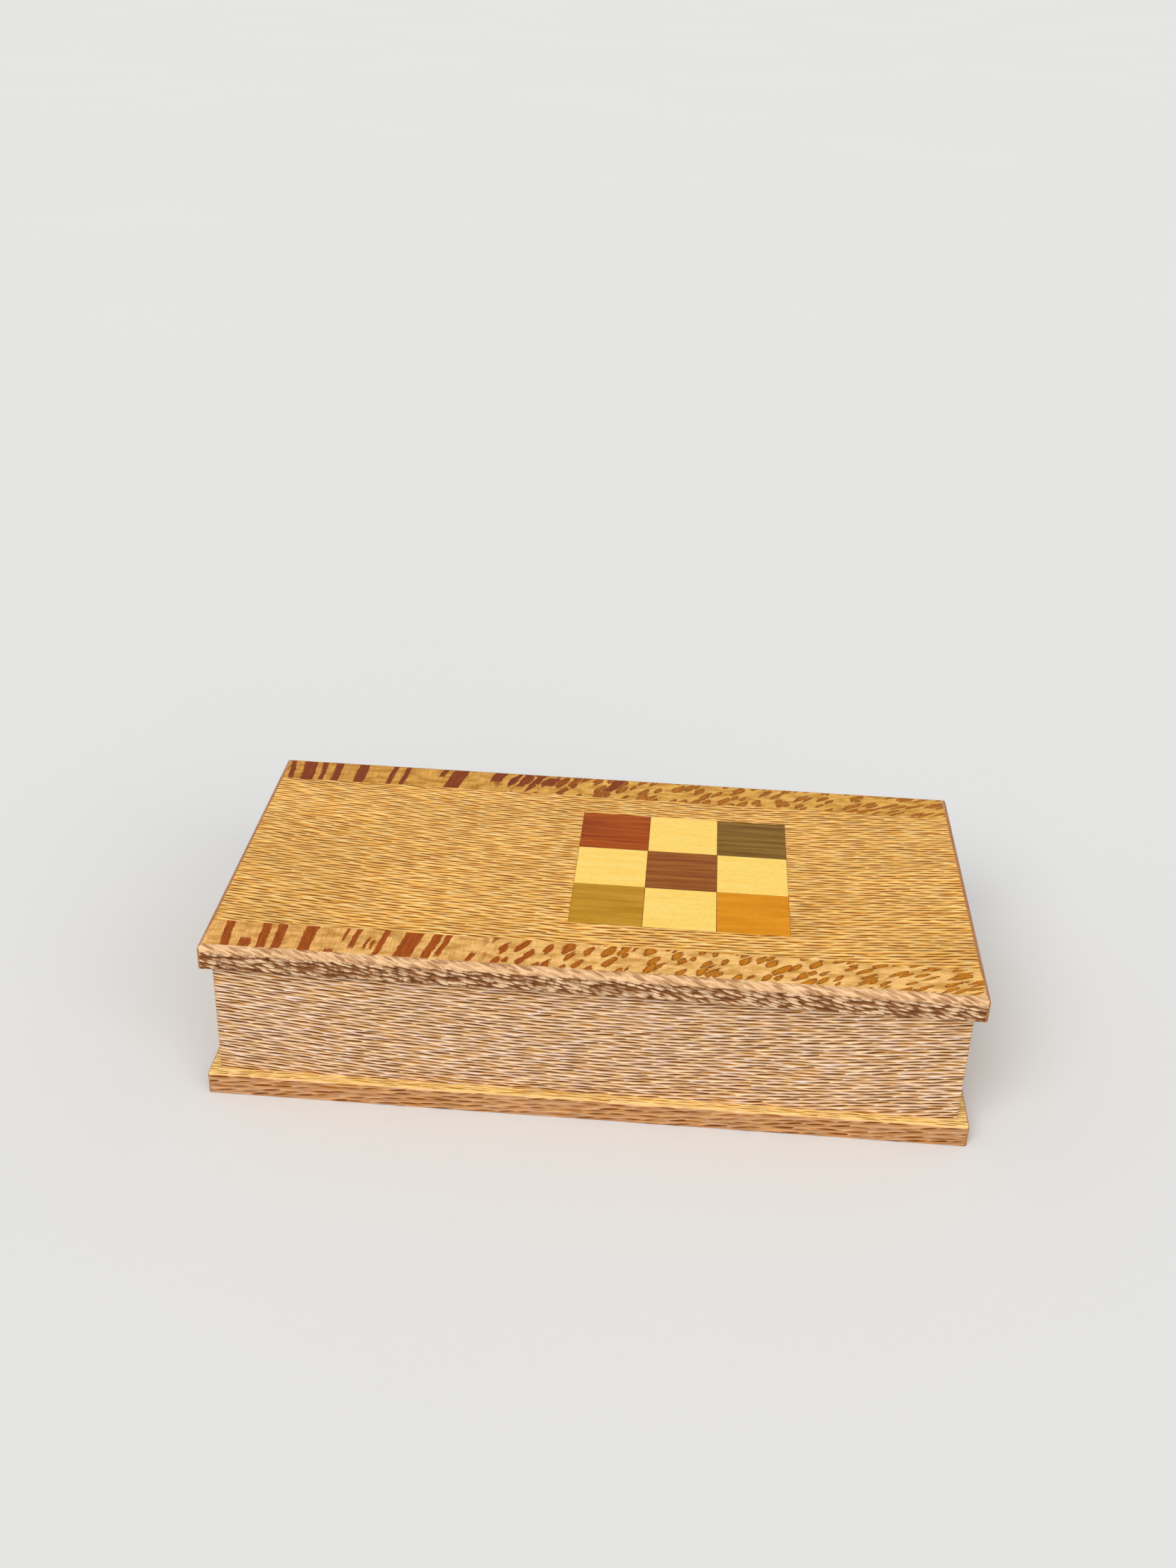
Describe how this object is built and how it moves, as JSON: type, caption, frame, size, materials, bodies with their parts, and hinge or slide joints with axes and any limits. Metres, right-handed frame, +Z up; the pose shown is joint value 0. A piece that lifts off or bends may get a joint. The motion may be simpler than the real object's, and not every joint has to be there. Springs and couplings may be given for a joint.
{
  "type": "keepsake box",
  "caption": "Rectangular wooden keepsake box with mitred walls, projecting base board and a hinged, inlaid lid that opens to show a felt-lined inside.",
  "frame": {"origin": "middle of the base board's underside, on the surface that the box stands on", "axes": "+X along the front from left to right, +Y from front to back, +Z up"},
  "size_m": [0.2616, 0.1346, 0.0613],
  "materials": {
    "body_wood": "oiled satin, fine brown dashes on pale pinkish tan",
    "base_wood": "oiled satin, sparse brown dashes on warm tan",
    "lid_board_wood": "oiled satin, fine brown dashes on golden tan",
    "lid_strip_wood": "oiled satin, large red-brown ray flecks on golden tan",
    "spline_wood": "plain dark brown",
    "red_brown_wood": "oiled satin",
    "pale_wood": "oiled satin",
    "grey_brown_wood": "oiled satin",
    "purple_brown_wood": "oiled satin",
    "olive_wood": "oiled satin",
    "orange_wood": "oiled satin",
    "felt": "dark red-brown wool felt",
    "brass": "polished, lacquered"
  },
  "bodies": {
    "box": {"base_board": "base_wood", "front_wall": "body_wood", "right_wall": "body_wood", "back_wall": "body_wood", "left_wall": "body_wood", "corner_spline_front_left": "spline_wood", "corner_spline_front_right": "spline_wood", "corner_spline_back_left": "spline_wood", "corner_spline_back_right": "spline_wood", "floor_felt": "felt", "base_screw_1": "brass", "base_screw_2": "brass", "base_screw_3": "brass", "base_screw_4": "brass", "base_screw_5": "brass", "base_screw_6": "brass", "hinge_left_box_leaf": "brass", "hinge_left_pin": "brass", "hinge_left_box_screw_1": "brass", "hinge_left_box_screw_2": "brass", "hinge_right_box_leaf": "brass", "hinge_right_pin": "brass", "hinge_right_box_screw_1": "brass", "hinge_right_box_screw_2": "brass"},
    "lid": {"lid_front_strip": "lid_strip_wood", "lid_centre_board": "lid_board_wood", "lid_back_strip": "lid_strip_wood", "inlay_front_left": "olive_wood", "inlay_front_middle": "pale_wood", "inlay_front_right": "orange_wood", "inlay_middle_left": "pale_wood", "inlay_centre": "purple_brown_wood", "inlay_middle_right": "pale_wood", "inlay_back_left": "red_brown_wood", "inlay_back_middle": "pale_wood", "inlay_back_right": "grey_brown_wood", "hinge_left_lid_leaf": "brass", "hinge_left_lid_screw_1": "brass", "hinge_left_lid_screw_2": "brass", "hinge_right_lid_leaf": "brass", "hinge_right_lid_screw_1": "brass", "hinge_right_lid_screw_2": "brass"}
  },
  "joints": [
    {"name": "lid_hinge", "type": "hinge", "parent": "box", "child": "lid", "pos_m": [0, 0.0645, 0.05165], "axis": [-1, 0, 0], "range_deg": [0, 110]}
  ]
}
